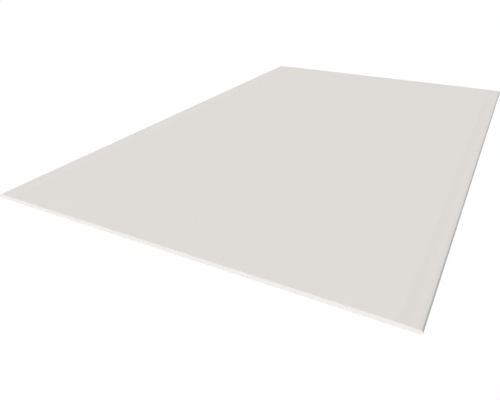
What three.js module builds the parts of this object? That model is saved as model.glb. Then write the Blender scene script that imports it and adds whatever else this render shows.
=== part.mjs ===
// Drywall sheet: a 2000 x 1250 x 12.5 mm gypsum board with tapered, rounded long edges.
//
// A drywall sheet is a sandwich that leaves the board machine as one endless ribbon. The face
// paper runs under the wet plaster, is folded up round both long edges and turned in over the
// back. The back paper is glued on last, over those turned-in laps. The ribbon is then cut
// across, so the two short ends are square and show the bare gypsum between the papers.
//
// The section is therefore the whole design, and each layer is that section drawn along the
// sheet's length. Millimetres, +Z up out of the face, +Y along the length, +X across the width.
// The origin is the middle of the back, where the sheet lies on a floor or against the studs.

import * as THREE from "three";

// Driving dimensions of the sheet.
const SHEET_LENGTH = 2000;
const SHEET_WIDTH = 1250;
const SHEET_THICKNESS = 12.5;

// The papers. The lap is the face paper that is turned in over the back, measured from the long
// edge. The back paper stops short of the edge, so that it never shows from the face side.
const PAPER_THICKNESS = 0.4;
const LAP_WIDTH = 32;
const BACK_PAPER_SETBACK = 8;

// The long edge, seen in section from the face to the back. The face drops by the taper's depth,
// which leaves room for joint tape and filler. From the taper's foot the shoulder leans over
// little by little, the edge rounds down to an upright land, and a small arris turns it under.
// Widths are measured from the long edge, and the angle is in degrees.
const TAPER_WIDTH = 53;
const TAPER_DEPTH = 0.95;
const SHOULDER_WIDTH = 18.4;
const SHOULDER_ANGLE = 5;
const EDGE_ROUND_RADIUS = 5.3;
const BACK_ARRIS_RADIUS = 1.2;

// How hard the taper's curve pulls at each end, as the share of its run at which the Bezier
// handle stands. It starts fairly sharply at the face and lands long and soft at the foot.
const TAPER_START_PULL = 0.18;
const TAPER_LANDING_PULL = 0.53;

// Straight pieces that each curve of the section is drawn with.
const CURVE_STEPS = 14;

// Finishes: the colour of each layer, and how matt it is.
const FACE_PAPER_FINISH = { color: 0xdfdcd7, roughness: 0.85, metalness: 0 };
const BACK_PAPER_FINISH = { color: 0xb9b0a2, roughness: 0.9, metalness: 0 };
const GYPSUM_FINISH = { color: 0xf2eeeb, roughness: 0.95, metalness: 0 };

// Half of the outline that the face paper is wrapped round: from the middle of the face, over the
// taper and the rounded edge, to the end of the lap on the back. Each curve starts where the one
// before it ends, and in the same direction.
function wrapCurves() {
  const edgeX = SHEET_WIDTH / 2;
  const footZ = SHEET_THICKNESS - TAPER_DEPTH;
  const faceMiddle = new THREE.Vector2(0, SHEET_THICKNESS);
  const taperTop = new THREE.Vector2(edgeX - TAPER_WIDTH, SHEET_THICKNESS);
  const taperFoot = new THREE.Vector2(edgeX - SHOULDER_WIDTH, footZ);
  const lapEnd = new THREE.Vector2(edgeX - LAP_WIDTH, PAPER_THICKNESS);

  const taperRun = taperFoot.x - taperTop.x;
  const taper = new THREE.CubicBezierCurve(
    taperTop,
    new THREE.Vector2(taperTop.x + TAPER_START_PULL * taperRun, SHEET_THICKNESS),
    new THREE.Vector2(taperFoot.x - TAPER_LANDING_PULL * taperRun, footZ),
    taperFoot,
  );

  // The shoulder is a parabola, so its two tangents cross in the middle of its run. Where it
  // leans over by its full angle, the round takes over.
  const lean = THREE.MathUtils.degToRad(SHOULDER_ANGLE);
  const roundX = edgeX - EDGE_ROUND_RADIUS;
  const shoulderRun = roundX + EDGE_ROUND_RADIUS * Math.sin(lean) - taperFoot.x;
  const shoulderZ = footZ - (shoulderRun / 2) * Math.tan(lean);
  const roundZ = shoulderZ - EDGE_ROUND_RADIUS * Math.cos(lean);
  const round = arc(roundX, roundZ, EDGE_ROUND_RADIUS, Math.PI / 2 - lean, 0);
  const shoulder = new THREE.QuadraticBezierCurve(
    taperFoot,
    new THREE.Vector2(taperFoot.x + shoulderRun / 2, footZ),
    round.getPoint(0),
  );

  const arrisZ = PAPER_THICKNESS + BACK_ARRIS_RADIUS;
  const arris = arc(edgeX - BACK_ARRIS_RADIUS, arrisZ, BACK_ARRIS_RADIUS, 0, -Math.PI / 2);

  return [
    new THREE.LineCurve(faceMiddle, taperTop),
    taper,
    shoulder,
    round,
    new THREE.LineCurve(round.getPoint(1), arris.getPoint(0)),
    arris,
    new THREE.LineCurve(arris.getPoint(1), lapEnd),
  ];
}

// A clockwise arc about a centre, between two angles counted from +X.
function arc(x, z, radius, fromAngle, toAngle) {
  return new THREE.EllipseCurve(x, z, radius, radius, fromAngle, toAngle, true);
}

// Points along the wrap, moved inwards by the inset. The curves run into each other smoothly, so
// the offset has no gaps or loops. The first and last points keep their place along the width.
function wrapPoints(inset) {
  const points = [];
  for (const curve of wrapCurves()) {
    const steps = curve.isLineCurve ? 1 : CURVE_STEPS;
    for (let step = points.length ? 1 : 0; step <= steps; step += 1) {
      const t = step / steps;
      const tangent = curve.getTangent(t);
      const outward = new THREE.Vector2(-tangent.y, tangent.x);
      points.push(curve.getPoint(t).addScaledVector(outward, -inset));
    }
  }
  return points;
}

// The full outline from the left lap over the face to the right lap. The middle of the face lies
// on a straight line, so its own point is dropped.
function fullWrap(inset) {
  const right = wrapPoints(inset).slice(1);
  const left = right.map((p) => new THREE.Vector2(-p.x, p.y)).reverse();
  return [...left, ...right];
}

// A layer is its closed section, drawn along the sheet's length and centred on the origin.
function layer(name, sectionPoints, finish) {
  const section = new THREE.Shape(sectionPoints);
  const geometry = new THREE.ExtrudeGeometry(section, {
    depth: SHEET_LENGTH,
    steps: 1,
    bevelEnabled: false,
  });
  geometry.translate(0, 0, -SHEET_LENGTH / 2);
  geometry.rotateX(Math.PI / 2);
  const mesh = new THREE.Mesh(geometry, new THREE.MeshStandardMaterial(finish));
  mesh.name = name;
  return mesh;
}

// Face paper: a long C that holds the core, from lap to lap.
function facePaper() {
  const outside = fullWrap(0);
  const inside = fullWrap(PAPER_THICKNESS).reverse();
  return layer("face_paper", [...outside, ...inside], FACE_PAPER_FINISH);
}

// Gypsum core: it fills the face paper and is pressed flat on the back, where it is thinner by
// the paper's thickness over the laps, so that the back paper lies level across them.
function gypsumCore() {
  const lapEndX = SHEET_WIDTH / 2 - LAP_WIDTH;
  const outline = [
    ...fullWrap(PAPER_THICKNESS),
    new THREE.Vector2(lapEndX, PAPER_THICKNESS),
    new THREE.Vector2(-lapEndX, PAPER_THICKNESS),
  ];
  return layer("gypsum_core", outline, GYPSUM_FINISH);
}

// Back paper: one flat strip, glued to the core and over both laps.
function backPaper() {
  const halfWidth = SHEET_WIDTH / 2 - BACK_PAPER_SETBACK;
  const outline = [
    new THREE.Vector2(-halfWidth, 0),
    new THREE.Vector2(halfWidth, 0),
    new THREE.Vector2(halfWidth, PAPER_THICKNESS),
    new THREE.Vector2(-halfWidth, PAPER_THICKNESS),
  ];
  return layer("back_paper", outline, BACK_PAPER_FINISH);
}

const drywallSheet = new THREE.Group();
drywallSheet.name = "drywall_sheet";
drywallSheet.add(gypsumCore(), facePaper(), backPaper());

export default drywallSheet;
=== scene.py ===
# %% [markdown]
# # A drywall sheet
#
# A drywall sheet is a sandwich: a slab of white gypsum between two papers. The face paper wraps
# round both long edges and laps onto the back, and the back paper is glued over the laps. The
# short ends are cut square, so they show the bare gypsum.
#
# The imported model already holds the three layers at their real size. This notebook gives each
# layer its finish: broken gypsum and frayed paper at the cut ends, soft shading over the tapered
# edges, and the fibres and specks that make paper look like paper.

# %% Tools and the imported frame
import math

import bmesh
import bpy
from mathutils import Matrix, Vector, noise


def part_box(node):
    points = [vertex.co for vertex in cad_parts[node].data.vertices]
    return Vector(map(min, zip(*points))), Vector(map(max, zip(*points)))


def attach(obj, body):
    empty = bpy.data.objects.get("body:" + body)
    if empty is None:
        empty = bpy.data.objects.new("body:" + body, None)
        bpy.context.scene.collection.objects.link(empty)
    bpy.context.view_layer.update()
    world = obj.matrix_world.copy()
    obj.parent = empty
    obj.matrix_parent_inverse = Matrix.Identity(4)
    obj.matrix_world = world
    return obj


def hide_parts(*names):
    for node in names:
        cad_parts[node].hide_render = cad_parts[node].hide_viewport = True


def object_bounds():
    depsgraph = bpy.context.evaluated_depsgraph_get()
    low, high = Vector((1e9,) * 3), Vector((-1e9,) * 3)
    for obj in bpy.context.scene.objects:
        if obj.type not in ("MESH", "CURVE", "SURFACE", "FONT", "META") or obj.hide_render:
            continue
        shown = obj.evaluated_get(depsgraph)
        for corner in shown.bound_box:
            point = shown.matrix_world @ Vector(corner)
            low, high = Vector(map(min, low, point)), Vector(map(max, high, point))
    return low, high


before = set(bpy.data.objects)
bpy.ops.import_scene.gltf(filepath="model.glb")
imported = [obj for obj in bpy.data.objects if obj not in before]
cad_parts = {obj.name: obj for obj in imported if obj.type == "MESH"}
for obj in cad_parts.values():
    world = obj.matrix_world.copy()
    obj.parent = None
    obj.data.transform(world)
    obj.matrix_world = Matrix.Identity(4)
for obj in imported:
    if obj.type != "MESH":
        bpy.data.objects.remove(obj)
cad_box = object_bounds()
print("layers in the frame:", ", ".join(sorted(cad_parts)))

# %% [markdown]
# ## Measures
#
# Everything is in metres, so a millimetre is a named value. The sheet's own sizes are read from
# the frame instead of being typed again: if the board's width or its paper changes, the cuts and
# the finishes below follow.

# %% Measures
MM = 0.001

sheet_low = Vector(cad_box[0])
sheet_high = Vector(cad_box[1])
half_width = sheet_high.x
half_length = sheet_high.y
thickness = sheet_high.z - sheet_low.z
core_low, core_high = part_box("gypsum_core")
back_low, back_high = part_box("back_paper")
paper_thickness = back_high.z - back_low.z
print(f"sheet {2 * half_width:.3f} x {2 * half_length:.3f} x {thickness:.4f} m, "
      f"paper {paper_thickness / MM:.2f} mm")

# %% [markdown]
# ## The camera
#
# The camera stands just outside the right long edge, close to the near end and about as high as
# a table. It looks down along the sheet and a little to the left, with a moderately wide lens,
# so the near end is broad and the far end narrows. A camera looks along its own -Z, so tilting
# it up by 90 degrees makes it look along +Y, and less than that looks down. A Track To
# constraint could aim it at an empty, but two angles say the same without a second object.

# %% The camera
camera_outside_edge = 0.0459
camera_before_end = 0.8020
camera_height = 0.6828
camera_turn = math.radians(28.340)
camera_tilt_down = math.radians(27.660)
camera_lens = 35.13

camera_data = bpy.data.cameras.new("studio_camera")
camera_data.sensor_fit = "HORIZONTAL"
camera_data.sensor_width = 36.0
camera_data.lens = camera_lens
camera = bpy.data.objects.new("studio_camera", camera_data)
camera.location = (half_width + camera_outside_edge, -half_length - camera_before_end,
                   camera_height)
camera.rotation_euler = (math.radians(90) - camera_tilt_down, 0, camera_turn)
bpy.context.scene.collection.objects.link(camera)
bpy.context.scene.camera = camera
print(f"camera lens {camera_lens} mm, {camera_height:.2f} m above the floor")

# %% [markdown]
# ## Light
#
# A matt sheet shows its shape only through light from one side. A soft key light comes from the
# left and a little from the front: the left taper leans towards it and brightens, the right
# taper leans away and darkens, and the right edge is lit by the room alone. A sun lamp has
# parallel light, so the big flat face stays even from end to end, which a lamp close by would
# not do. Its wide angle keeps shadows soft.
#
# The key is warm and the room is cool, like a lamp in a daylit studio. On the face the two mix
# to a warm grey. The right edge misses the key, so it is both darker and cooler, and that reads
# as shade and not as a different paper. The Standard view shows the colours as they are lit.

# %% Light
key_direction = Vector((0.41, 0.20, -0.43))
key_strength = 2.655
key_colour = (1, 0.934, 0.769)
key_softness = math.radians(30)

key_data = bpy.data.lights.new("key_light", "SUN")
key_data.energy = key_strength
key_data.color = key_colour
key_data.angle = key_softness
key_light = bpy.data.objects.new("key_light", key_data)
key_light.rotation_euler = key_direction.to_track_quat("-Z", "Y").to_euler()
bpy.context.scene.collection.objects.link(key_light)
bpy.context.scene.view_settings.view_transform = "Standard"
print(f"key light of strength {key_strength}, {math.degrees(key_softness):.0f} degrees wide")

# %% [markdown]
# ## Three small helpers for shader nodes
#
# A material is a graph of nodes. Written out in full, each node takes five or six lines, and the
# idea drowns. `feed` fills one socket with a number or with another node's output, and
# `add_node` makes a node and fills the sockets it is given by name. `calculate` is the node
# that does one sum, which masks and patterns need again and again.

# %% Helpers for nodes
def feed(tree, socket, value):
    """Fill a socket: link another node's output to it, or set it to a number, colour or vector."""
    if isinstance(value, bpy.types.NodeSocket):
        tree.links.new(value, socket)
    else:
        socket.default_value = value


def add_node(tree, kind, inputs=None, **settings):
    """Add a node, change its settings and fill the inputs that are named."""
    made = tree.nodes.new(kind)
    for name, value in settings.items():
        setattr(made, name, value)
    for name, value in (inputs or {}).items():
        feed(tree, made.inputs[name], value)
    return made


def calculate(tree, operation, *values, clamp=False):
    """The result of one Math node."""
    made = add_node(tree, "ShaderNodeMath", operation=operation, use_clamp=clamp)
    for socket, value in zip(made.inputs, values):
        feed(tree, socket, value)
    return made.outputs[0]


# %% [markdown]
# ## The room
#
# The room could be four walls and a ceiling, but a matt sheet mirrors nothing, so one even
# colour all round gives the same light for less. Seen straight, that colour would be a dull
# background. A Light Path node knows which rays come from the camera, and gives those white.

# %% The room
room_colour = (0.569, 0.608, 0.700, 1)
white = (1, 1, 1, 1)

world = bpy.data.worlds.new("studio_room")
world.use_nodes = True
bpy.context.scene.world = world

room_tree = world.node_tree
room_tree.nodes.clear()
room_light = add_node(room_tree, "ShaderNodeBackground", {"Color": room_colour})
white_backdrop = add_node(room_tree, "ShaderNodeBackground", {"Color": white})
looking = add_node(room_tree, "ShaderNodeLightPath").outputs["Is Camera Ray"]
choose = add_node(room_tree, "ShaderNodeMixShader", {"Fac": looking})
feed(room_tree, choose.inputs[1], room_light.outputs[0])
feed(room_tree, choose.inputs[2], white_backdrop.outputs[0])
add_node(room_tree, "ShaderNodeOutputWorld", {"Surface": choose.outputs[0]})
print("room light:", room_colour[:3])

# %% [markdown]
# ## The floor
#
# The floor is one big square. It lies a fiftieth of a millimetre below the sheet, because two
# faces at one height flicker.

# %% The floor
floor_size = 40.0
floor_drop = 0.02 * MM

bm = bmesh.new()
bmesh.ops.create_grid(bm, x_segments=1, y_segments=1, size=floor_size / 2)
bmesh.ops.translate(bm, verts=bm.verts, vec=(0, 0, -floor_drop))
floor_mesh = bpy.data.meshes.new("studio_floor")
bm.to_mesh(floor_mesh)
bm.free()
floor = bpy.data.objects.new("studio_floor", floor_mesh)
bpy.context.scene.collection.objects.link(floor)
print(f"floor {floor_size:.0f} m square")

# %% [markdown]
# For the light, the floor is a real matt surface, so it bounces light up onto the edges of the
# sheet. To the camera it is nearly plain white, with only a trace of the shade that falls on it,
# which is enough to seat the sheet. The trace takes a little from the white, so the glow under
# it is a hair over white and gives that back.

# %% The floor's finish
floor_trace_of_shade = 0.02
floor_glow = 1.005
floor_colour = (0.78, 0.757, 0.715, 1)

floor_material = bpy.data.materials.new("pale_floor")
floor_material.use_nodes = True
floor_tree = floor_material.node_tree
floor_tree.nodes.clear()
matt = add_node(floor_tree, "ShaderNodeBsdfDiffuse", {"Color": floor_colour})
glow = add_node(floor_tree, "ShaderNodeEmission", {"Color": white, "Strength": floor_glow})
looking = add_node(floor_tree, "ShaderNodeLightPath").outputs["Is Camera Ray"]
plain_share = calculate(floor_tree, "MULTIPLY", looking, 1 - floor_trace_of_shade)
mixed = add_node(floor_tree, "ShaderNodeMixShader", {"Fac": plain_share})
feed(floor_tree, mixed.inputs[1], matt.outputs[0])
feed(floor_tree, mixed.inputs[2], glow.outputs[0])
add_node(floor_tree, "ShaderNodeOutputMaterial", {"Surface": mixed.outputs[0]})
floor_mesh.materials.append(floor_material)
print(f"the camera sees {floor_trace_of_shade:.0%} of the shade on the floor")

# %% [markdown]
# ## A copy of a layer to work on
#
# The frame's own layers are never changed, so each finish starts from a copy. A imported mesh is
# loose triangles, each with corners of its own. `remove_doubles` welds them. `dissolve_faces`
# joins the triangles of each end, which are the ones that face along the sheet. `dissolve_limit`
# with a tiny angle takes out the edges that only split a flat strip. What is left is what a
# drawing would show: two end sections and the long strips between them.

# %% A copy to work on
weld_distance = 0.001 * MM
along_enough = 0.9
flat_angle = math.radians(0.06)


def working_copy(layer):
    """A welded bmesh of one layer of the frame, with its flat faces whole."""
    bm = bmesh.new()
    bm.from_mesh(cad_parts[layer].data)
    bmesh.ops.remove_doubles(bm, verts=bm.verts, dist=weld_distance)
    ends = [face for face in bm.faces if abs(face.normal.y) > along_enough]
    bmesh.ops.dissolve_faces(bm, faces=ends)
    bmesh.ops.dissolve_limit(bm, angle_limit=flat_angle, verts=bm.verts, edges=bm.edges)
    print(f"{layer}: {len(bm.faces)} faces after welding")
    return bm


# %% [markdown]
# ## Scoring
#
# A cut end can only crumble or fray if it has points to move. A grid laid over it would have to
# be trimmed to the rounded outline. Scoring is simpler: `bisect_plane` cuts the whole layer by
# one flat plane after another, and the cuts follow any outline by themselves, as a knife would.
#
# The three layers take over three thousand cuts. Each one is given only what still reaches past
# the last plane, so the slices that are done cost nothing more. A cut that passes a hair from an
# older point leaves a sliver between them, so close points are merged when all the cuts are made.

# %% Scoring
X_AXIS, Z_AXIS = Vector((1, 0, 0)), Vector((0, 0, 1))
sliver_width = 0.01 * MM


def reaches_past(part, place, across):
    """Whether a point, edge or face has anything beyond a plane."""
    points = [part] if isinstance(part, bmesh.types.BMVert) else part.verts
    return any((v.co - place).dot(across) > weld_distance for v in points)


def score(bm, across, low, high, spacing):
    """Cut a layer into slices of even thickness between two places along an axis."""
    uncut = bm.verts[:] + bm.edges[:] + bm.faces[:]
    slices = max(1, round((high - low) / spacing))
    for cut in range(1, slices):
        place = across * (low + (high - low) * cut / slices)
        done = bmesh.ops.bisect_plane(bm, geom=uncut, dist=weld_distance, plane_co=place,
                                      plane_no=across)
        uncut = [part for part in done["geom"] if reaches_past(part, place, across)]
    bmesh.ops.remove_doubles(bm, verts=bm.verts, dist=sliver_width)


def end_points(bm):
    """The points that lie on either cut end of the sheet."""
    return [v for v in bm.verts if half_length - abs(v.co.y) < weld_distance]


# %% [markdown]
# ## From working copy to piece
#
# Every finished layer ends in the same way. Its points already lie where they belong, so its
# object stays at the origin. Faces are shaded smooth, so that the strips of the taper and the
# rolled edge read as one bend, and edges sharper than a set angle are kept crisp. The editor has
# a modifier for that, but a mark on each edge does it with nothing left to run.

# %% From working copy to piece
def finish_piece(bm, name, layer, crisp_angle):
    """Make the object of a layer's finish, in place of that layer."""
    bm.normal_update()
    for face in bm.faces:
        face.smooth = True
    for edge in bm.edges:
        edge.smooth = edge.calc_face_angle(0) < crisp_angle
    mesh = bpy.data.meshes.new(name)
    bm.to_mesh(mesh)
    bm.free()
    piece = bpy.data.objects.new(name, mesh)
    bpy.context.scene.collection.objects.link(piece)
    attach(piece, "root")
    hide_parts(layer)
    mesh.calc_loop_triangles()
    print(f"{name}: {len(mesh.loop_triangles)} triangles")
    return piece


# %% [markdown]
# ## The gypsum core
#
# Set gypsum is a brittle foam. The cutter at the end of the line shears it rather than slices
# it, so a cut end is a little hollow and uneven: it waves gently along its length, it is
# granular close up, and along each paper it has crumbled away here and there.
#
# A Displace modifier could push the ends about, but each one reads a single texture, and four
# patterns meet here. So the depth is a plain sum for each point, made with `mathutils.noise`,
# which gives the same numbers in every run. All of it goes inwards: the papers stand proud of the
# gypsum by a hair, as they do on a real board, and the sheet is never longer than it was.

# %% How far the gypsum has broken
least_recess = 0.04 * MM
wave_size, wave_depth = 45 * MM, 0.16 * MM
ripple_size, ripple_depth = 7 * MM, 0.10 * MM
grain_size, grain_depth = 1.7 * MM, 0.13 * MM
crumble_size, crumble_depth, crumble_reach = 11 * MM, 0.6 * MM, 2.2 * MM
crumble_rarity = 0.18
crumble_least, crumble_range = 0.6, 0.8


def soft_noise(point, size):
    """Smooth noise from 0 to 1, with bumps of about the given size."""
    return 0.5 + 0.5 * noise.noise(point / size)


def crumbled(point):
    """How much of the gypsum beside a paper has broken away, from 0 to about 1."""
    below_paper = min(point.z - core_low.z, core_high.z - point.z)
    nearness = max(0, 1 - below_paper / crumble_reach)
    patches = noise.noise(point / crumble_size) - crumble_rarity
    raggedness = crumble_least + crumble_range * soft_noise(point, grain_size)
    return nearness ** 2 * max(0, patches) * raggedness


def recess(point):
    """How far the broken gypsum lies behind the plane of the cut, in metres."""
    return (least_recess
            + wave_depth * soft_noise(point, wave_size)
            + ripple_depth * soft_noise(point, ripple_size)
            + grain_depth * soft_noise(point, grain_size)
            + crumble_depth * crumbled(point))


middle_of_end = Vector((0, half_length, thickness / 2))
print(f"the middle of an end lies {recess(middle_of_end) / MM:.2f} mm back")

# %% [markdown]
# The core is scored across its width and its thickness, so both cut ends get a grid that is
# finer than the grain. Only the points on the ends move. The long faces under the papers are
# cut into strips by the same knife, but they keep their shape.

# %% The gypsum core
core_cell = 0.8 * MM
core_crisp_angle = math.radians(40)

core = working_copy("gypsum_core")
score(core, X_AXIS, core_low.x, core_high.x, core_cell)
score(core, Z_AXIS, core_low.z, core_high.z, core_cell)
cut_points = end_points(core)
for vert in cut_points:
    vert.co.y -= math.copysign(recess(vert.co), vert.co.y)
print(f"{len(cut_points)} points of the cut ends are broken")
gypsum_slab = finish_piece(core, "gypsum_slab", "gypsum_core", core_crisp_angle)

# %% [markdown]
# ## The papers
#
# Paper is cut with the board, and its edge frays: the fibres end at slightly different places.
# Both papers are scored about every millimetre across the sheet, and their end points are drawn
# in by a fraction of a millimetre. Height is stretched before the noise is read, so the outer
# and the inner face of the paper fray apart, and the edge is torn through its thickness too.

# %% The papers
paper_cell = 1.2 * MM
paper_crisp_angle = math.radians(30)
fray_size, fray_depth = 2.2 * MM, 0.16 * MM
nick_size, nick_depth, nick_rarity = 18 * MM, 0.3 * MM, 0.25


def fray(point):
    """How far the paper's edge lies behind the plane of the cut, in metres."""
    torn = Vector((point.x, point.y, point.z * fray_size / paper_thickness))
    nicks = max(0, noise.noise(torn / nick_size) - nick_rarity)
    return fray_depth * soft_noise(torn, fray_size) ** 2 + nick_depth * nicks


def frayed_paper(name, layer):
    """Finish one of the two papers."""
    paper = working_copy(layer)
    low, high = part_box(layer)
    score(paper, X_AXIS, low.x, high.x, paper_cell)
    for vert in end_points(paper):
        vert.co.y -= math.copysign(fray(vert.co), vert.co.y)
    return finish_piece(paper, name, layer, paper_crisp_angle)


face_lining = frayed_paper("face_lining", "face_paper")
back_lining = frayed_paper("back_lining", "back_paper")

# %% [markdown]
# ## Paper fibres, as a node group
#
# Both papers are made from recycled fibre, and differ only in colour and in how much of the
# fibre shows. That calls for a node group: it is built once, and each material sets its own
# amounts. The group never touches a shader. It hands out a tone to multiply the colour by, a
# mask of dark specks, and a height for the bump.
#
# Four things happen in paper at four scales. Fibres are thin curled lines a few millimetres
# long. Clouds, which papermakers call formation, are soft patches a centimetre or two across.
# Streaks run along the machine, metres long. Specks are bits of ink and bark.

# %% Group inputs and outputs
def new_group(name, inputs, outputs):
    """A shader node group with named sockets. Inputs give their type and their first value."""
    group = bpy.data.node_groups.new(name, "ShaderNodeTree")
    for label, (kind, value) in inputs.items():
        socket = group.interface.new_socket(label, in_out="INPUT", socket_type=kind)
        if value is not None:
            socket.default_value = value
    for label, kind in outputs.items():
        group.interface.new_socket(label, in_out="OUTPUT", socket_type=kind)
    entry = group.nodes.new("NodeGroupInput")
    leave = group.nodes.new("NodeGroupOutput")
    return group, entry.outputs, leave.inputs


FLOAT, VECTOR = "NodeSocketFloat", "NodeSocketVector"

# %% [markdown]
# A fibre is drawn as the place where a noise crosses its middle value. That is a thin line that
# wanders without end, so a second noise breaks it into short lengths. Stretching the point before
# the noise lays the fibres more one way than the other.

# %% One lay of fibres
noise_middle = 0.5
fibre_curl = 0.8
gate_scale, gate_softness = 0.9, 0.05


def fibre_lay(tree, point, turn, spacing, line_width, share):
    """A mask of thin curled lines. Spacing is their distance apart, across and along."""
    across, along = spacing
    laid = add_node(tree, "ShaderNodeMapping",
                    {"Vector": point, "Rotation": (0, 0, turn),
                     "Scale": (1 / across, 1 / along, 1 / across)}).outputs[0]
    wander = add_node(tree, "ShaderNodeTexNoise",
                      {"Vector": laid, "Scale": 1, "Detail": 1,
                       "Distortion": fibre_curl}).outputs[0]
    off_middle = calculate(tree, "ABSOLUTE", calculate(tree, "SUBTRACT", wander, noise_middle))
    line = calculate(tree, "SUBTRACT", 1, calculate(tree, "DIVIDE", off_middle, line_width),
                     clamp=True)
    gate = add_node(tree, "ShaderNodeTexNoise",
                    {"Vector": laid, "Scale": gate_scale, "Detail": 0}).outputs[0]
    shown = add_node(tree, "ShaderNodeMapRange",
                     {"Value": gate, "From Min": 1 - share - gate_softness,
                      "From Max": 1 - share + gate_softness}).outputs[0]
    return calculate(tree, "MULTIPLY", line, shown)


# %% [markdown]
# Three lays at different turns make a felt. They cross without adding up, because the lightest
# fibre wins: that is what a maximum does.

# %% The group of paper fibres
paper_fibres, given, result = new_group(
    "paper_fibres",
    {"Point in mm": (VECTOR, None),
     "Fibre contrast": (FLOAT, 0.05),
     "Cloud contrast": (FLOAT, 0.02),
     "Streak contrast": (FLOAT, 0.01),
     "Speck cover": (FLOAT, 0.1)},
    {"Tone": FLOAT, "Specks": FLOAT, "Height": FLOAT})

point = given["Point in mm"]
fibre_turns = (0.12, -0.5, 1.1)
fibre_spacings = ((1.3, 3.2), (1.6, 3.6), (1.9, 3.0))
lays = [fibre_lay(paper_fibres, point, turn, spacing, line_width=0.05, share=0.5)
        for turn, spacing in zip(fibre_turns, fibre_spacings)]
fibres = calculate(paper_fibres, "MAXIMUM", calculate(paper_fibres, "MAXIMUM", lays[0], lays[1]),
                   lays[2])
print(len(lays), "lays of fibres")

# %% [markdown]
# Clouds and streaks are plain noises. One is round, and the other is stretched out along the
# sheet and ignores its height, so that a streak runs through the paper's thickness.

# %% Clouds and streaks
cloud_size = 14
clouds = add_node(paper_fibres, "ShaderNodeTexNoise",
                  {"Vector": point, "Scale": 1 / cloud_size, "Detail": 4,
                   "Roughness": 0.6}).outputs[0]

streak_width, streak_length = 22, 2500
streak_point = add_node(paper_fibres, "ShaderNodeMapping",
                        {"Vector": point,
                         "Scale": (1 / streak_width, 1 / streak_length, 0)}).outputs[0]
streaks = add_node(paper_fibres, "ShaderNodeTexNoise",
                   {"Vector": streak_point, "Scale": 1, "Detail": 3}).outputs[0]
print(f"clouds {cloud_size} mm, streaks {streak_width} mm wide")

# %% [markdown]
# A speck is a Voronoi cell's own point. The cell's random colour decides two things: whether the
# cell has a speck at all, and how big it is, as a share of the cell.

# %% Specks
speck_spacing, smallest_speck, speck_range = 7, 0.015, 0.05
cells = add_node(paper_fibres, "ShaderNodeTexVoronoi",
                 {"Vector": point, "Scale": 1 / speck_spacing})
dice = add_node(paper_fibres, "ShaderNodeSeparateColor", {"Color": cells.outputs["Color"]})
chosen = calculate(paper_fibres, "LESS_THAN", dice.outputs["Red"], given["Speck cover"])
speck_radius = calculate(paper_fibres, "MULTIPLY_ADD", dice.outputs["Green"], speck_range,
                         smallest_speck)
inside_speck = calculate(paper_fibres, "LESS_THAN", cells.outputs["Distance"], speck_radius)
feed(paper_fibres, result["Specks"], calculate(paper_fibres, "MULTIPLY", chosen, inside_speck))
print(f"a speck in some of the cells, which are {speck_spacing} mm apart")

# %% [markdown]
# A pattern should change the colour's look and not its average. So each one is counted from its
# own middle value, and lightens the paper as much as it darkens it. The height is a fine tooth,
# with the fibres lying on top of it.

# %% Tone and height
fibre_middle = 0.1


def swing(value, middle, contrast):
    """A value's distance from its middle, times a contrast: what a pattern adds to the tone."""
    off_middle = calculate(paper_fibres, "SUBTRACT", value, middle)
    return calculate(paper_fibres, "MULTIPLY", off_middle, contrast)


tone = calculate(paper_fibres, "ADD", 1, swing(fibres, fibre_middle, given["Fibre contrast"]))
tone = calculate(paper_fibres, "ADD", tone, swing(clouds, noise_middle, given["Cloud contrast"]))
tone = calculate(paper_fibres, "ADD", tone,
                 swing(streaks, noise_middle, given["Streak contrast"]))
feed(paper_fibres, result["Tone"], tone)

tooth_scale, fibre_height = 2.5, 0.5
tooth = add_node(paper_fibres, "ShaderNodeTexNoise",
                 {"Vector": point, "Scale": tooth_scale, "Detail": 2}).outputs[0]
feed(paper_fibres, result["Height"],
     calculate(paper_fibres, "MULTIPLY_ADD", fibres, fibre_height, tooth))
print("paper_fibres:", len(paper_fibres.nodes), "nodes")

# %% [markdown]
# ## Gypsum dust, as a node group
#
# Cutting throws white dust, and a thin veil of it stays on both papers along the cut ends. It
# has to sit on both papers, so it is a group too: a mask that is strongest at the cut and gone
# after a few millimetres, broken up by a noise. The torn fibres of the cut itself are packed
# with dust, so the last half millimetre has a second, much stronger mask, and the larger wins.

# %% The group of gypsum dust
gypsum_dust, given, result = new_group(
    "gypsum_dust",
    {"Point in mm": (VECTOR, None),
     "Half length": (FLOAT, half_length / MM),
     "Reach": (FLOAT, 5.0),
     "Cover": (FLOAT, 0.3),
     "Cut reach": (FLOAT, 0.6),
     "Cut cover": (FLOAT, 0.8)},
    {"Dust": FLOAT})

along = add_node(gypsum_dust, "ShaderNodeSeparateXYZ", {"Vector": given["Point in mm"]})
from_middle = calculate(gypsum_dust, "ABSOLUTE", along.outputs["Y"])
from_cut = calculate(gypsum_dust, "SUBTRACT", given["Half length"], from_middle)
fade = calculate(gypsum_dust, "SUBTRACT", 1,
                 calculate(gypsum_dust, "DIVIDE", from_cut, given["Reach"]), clamp=True)
drift_scale = 0.5
drift = add_node(gypsum_dust, "ShaderNodeTexNoise",
                 {"Vector": given["Point in mm"], "Scale": drift_scale, "Detail": 4}).outputs[0]
patchy = calculate(gypsum_dust, "MULTIPLY", fade, drift)
veil = calculate(gypsum_dust, "MULTIPLY", patchy, given["Cover"])

at_cut = calculate(gypsum_dust, "SUBTRACT", 1,
                   calculate(gypsum_dust, "DIVIDE", from_cut, given["Cut reach"]), clamp=True)
caught = calculate(gypsum_dust, "MULTIPLY", at_cut, given["Cut cover"])
feed(gypsum_dust, result["Dust"], calculate(gypsum_dust, "MAXIMUM", veil, caught))
print("gypsum_dust:", len(gypsum_dust.nodes), "nodes")

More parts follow.
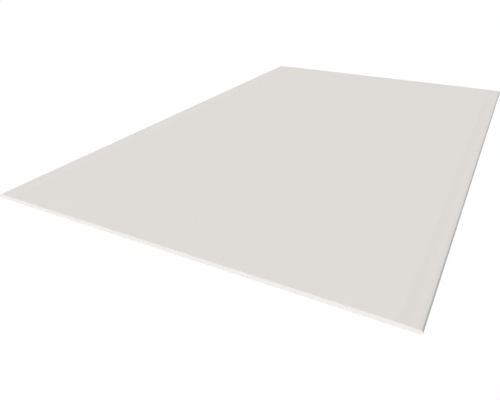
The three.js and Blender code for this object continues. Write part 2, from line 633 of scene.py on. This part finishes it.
# %% [markdown]
# ## What every finish starts from
#
# Papers and gypsum start in the same way: a Principled shader, and the place of each point on
# the sheet in millimetres. The place comes from the piece's own Object coordinates, so a pattern
# stays on its piece wherever that goes, and no map has to be unwrapped.

# %% A material to start from
def new_material(name, roughness, specular):
    """A material with a Principled shader. What is even all over is set on the shader itself."""
    material = bpy.data.materials.new(name)
    material.use_nodes = True
    tree = material.node_tree
    shader = tree.nodes["Principled BSDF"]
    shader.inputs["Roughness"].default_value = roughness
    shader.inputs["Specular IOR Level"].default_value = specular
    place = add_node(tree, "ShaderNodeTexCoord").outputs["Object"]
    point = add_node(tree, "ShaderNodeMapping",
                     {"Vector": place, "Scale": (1 / MM, 1 / MM, 1 / MM)}).outputs[0]
    return material, tree, shader, point


def placed_group(tree, group, inputs):
    """The outputs of a node group that is placed in a material with its own values."""
    placed = add_node(tree, "ShaderNodeGroup", node_tree=group)
    for name, value in inputs.items():
        feed(tree, placed.inputs[name], value)
    return placed.outputs


# %% [markdown]
# Three more steps come back in every finish: a colour is toned, two colours are mixed, and a
# height becomes relief. The relief is a bump and not geometry, because it is finer than any mesh
# that a whole sheet could carry.

# %% Colours and relief
def toned_colour(tree, colour, tone):
    """A colour made lighter or darker by a tone."""
    return add_node(tree, "ShaderNodeVectorMath", {"Vector": colour[:3], "Scale": tone},
                    operation="SCALE").outputs[0]


def mixed_colour(tree, share, first, second):
    """Two colours mixed. The Mix node keeps its colour sockets after those of other types."""
    first_socket, second_socket, result_socket = 6, 7, 2
    mix = add_node(tree, "ShaderNodeMix", {"Factor": share}, data_type="RGBA")
    feed(tree, mix.inputs[first_socket], first)
    feed(tree, mix.inputs[second_socket], second)
    return mix.outputs[result_socket]


def bumped(tree, shader, height, depth):
    """Feed a height to the shader's normal as relief of a given depth, in metres."""
    relief = add_node(tree, "ShaderNodeBump", {"Height": height, "Distance": depth})
    feed(tree, shader.inputs["Normal"], relief.outputs["Normal"])


# %% [markdown]
# ## The two papers
#
# One function makes both materials, because they are the same stuff. The face paper is a light,
# warm grey with its fibres well buried, so that paint covers it. The back paper is browner and
# rougher, and hides nothing.
#
# A paper's colour is built up in the order in which the real one gets it. The pulp sets the
# tone, the specks lie in the pulp, and the dust comes last and lies on top.

# %% Paper materials
dust_colour = (0.88, 0.87, 0.85, 1)


def paper_material(name, colour, speck_colour, relief_depth, dust_cover, fibre_amounts):
    """Lining paper of one colour, with its fibres, its specks and the dust of the cut."""
    material, tree, shader, point = new_material(name, roughness=0.9, specular=0.2)
    pulp = placed_group(tree, paper_fibres, {"Point in mm": point, **fibre_amounts})
    dust = placed_group(tree, gypsum_dust, {"Point in mm": point, "Cover": dust_cover})
    plain = toned_colour(tree, colour, pulp["Tone"])
    specked = mixed_colour(tree, pulp["Specks"], plain, speck_colour)
    dusted = mixed_colour(tree, dust["Dust"], specked, dust_colour)
    feed(tree, shader.inputs["Base Color"], dusted)
    bumped(tree, shader, pulp["Height"], relief_depth)
    return material


face_paper_finish = paper_material(
    "face_paper_finish", colour=(0.636, 0.615, 0.5855, 1), speck_colour=(0.50, 0.47, 0.43, 1),
    relief_depth=0.015 * MM, dust_cover=0.1,
    fibre_amounts={"Fibre contrast": 0.05, "Cloud contrast": 0.03, "Streak contrast": 0.012,
                   "Speck cover": 0.12})
back_paper_finish = paper_material(
    "back_paper_finish", colour=(0.50, 0.45, 0.37, 1), speck_colour=(0.22, 0.18, 0.13, 1),
    relief_depth=0.03 * MM, dust_cover=0.3,
    fibre_amounts={"Fibre contrast": 0.22, "Cloud contrast": 0.12, "Streak contrast": 0.06,
                   "Speck cover": 0.45})
print("paper materials:", face_paper_finish.name, back_paper_finish.name)

# %% [markdown]
# ## The gypsum
#
# Set gypsum is white, with the faintest pink. The slurry is foamed, so the cut end is full of tiny
# air bubbles, apart from a dense skin of about a millimetre under each paper. The bubbles are
# Voronoi cells again: round dimples with painted shade inside, so they are darker than the
# gypsum round them, with radii of up to a third of their spacing.

# %% Bubbles in the gypsum
bubble_spacing = 0.9
biggest_bubble = 0.34
dense_skin = 1.0

gypsum_finish, tree, shader, point = new_material("gypsum_finish", roughness=0.95, specular=0.15)
bubbles = add_node(tree, "ShaderNodeTexVoronoi", {"Vector": point, "Scale": 1 / bubble_spacing})
dice = add_node(tree, "ShaderNodeSeparateColor", {"Color": bubbles.outputs["Color"]})
bubble_radius = calculate(tree, "MULTIPLY", dice.outputs["Red"], biggest_bubble)
bubble_depth = calculate(tree, "SUBTRACT", bubble_radius, bubbles.outputs["Distance"], clamp=True)

height_in_core = add_node(tree, "ShaderNodeSeparateXYZ", {"Vector": point}).outputs["Z"]
above_back = calculate(tree, "SUBTRACT", height_in_core, core_low.z / MM)
below_face = calculate(tree, "SUBTRACT", core_high.z / MM, height_in_core)
from_paper = calculate(tree, "MINIMUM", above_back, below_face)
foamed = add_node(tree, "ShaderNodeMapRange",
                  {"Value": from_paper, "From Min": dense_skin / 2,
                   "From Max": dense_skin}).outputs[0]
foam = calculate(tree, "MULTIPLY", bubble_depth, foamed)
print(f"bubbles {bubble_spacing} mm apart, up to {biggest_bubble * bubble_spacing:.2f} mm in radius")

# %% [markdown]
# Between the bubbles the break is sandy: a noise of fine grain gives it a little tone and most of
# its relief. The same foam value paints shade into the bubbles and dents them, so the painted
# shade and the relief agree.

# %% Gypsum material
gypsum_colour = (0.877, 0.860, 0.862, 1)
# painted shade inside the bubbles, the colour of a hollow in shadow
painted_shade_in_bubbles = (0.74, 0.71, 0.67, 1)
bubble_rim, bubble_dent = 4, 3
grain_scale, grain_contrast = 1.8, 0.06
gypsum_relief = 0.2 * MM

grains = add_node(tree, "ShaderNodeTexNoise",
                  {"Vector": point, "Scale": grain_scale, "Detail": 5}).outputs[0]
grain_tone = calculate(tree, "MULTIPLY_ADD", grains, grain_contrast, 1 - grain_contrast / 2)
plain = toned_colour(tree, gypsum_colour, grain_tone)
# how much painted shade each bubble gets, from its depth
where_bubbles_are_shaded = calculate(tree, "MULTIPLY", foam, bubble_rim, clamp=True)
feed(tree, shader.inputs["Base Color"], mixed_colour(tree, where_bubbles_are_shaded, plain, painted_shade_in_bubbles))

dents = calculate(tree, "MULTIPLY", foam, bubble_dent)
bumped(tree, shader, calculate(tree, "SUBTRACT", grains, dents), gypsum_relief)
print("gypsum material:", len(tree.nodes), "nodes")

# %% [markdown]
# ## Each piece gets its finish
#
# A new mesh wears nothing, so each piece is given its one material by name. Keeping this in one
# place shows at a glance which finish goes where.

# %% Each piece gets its finish
for piece, finish in ((gypsum_slab, gypsum_finish), (face_lining, face_paper_finish),
                      (back_lining, back_paper_finish)):
    piece.data.materials.append(finish)
    print(piece.name, "wears", finish.name)
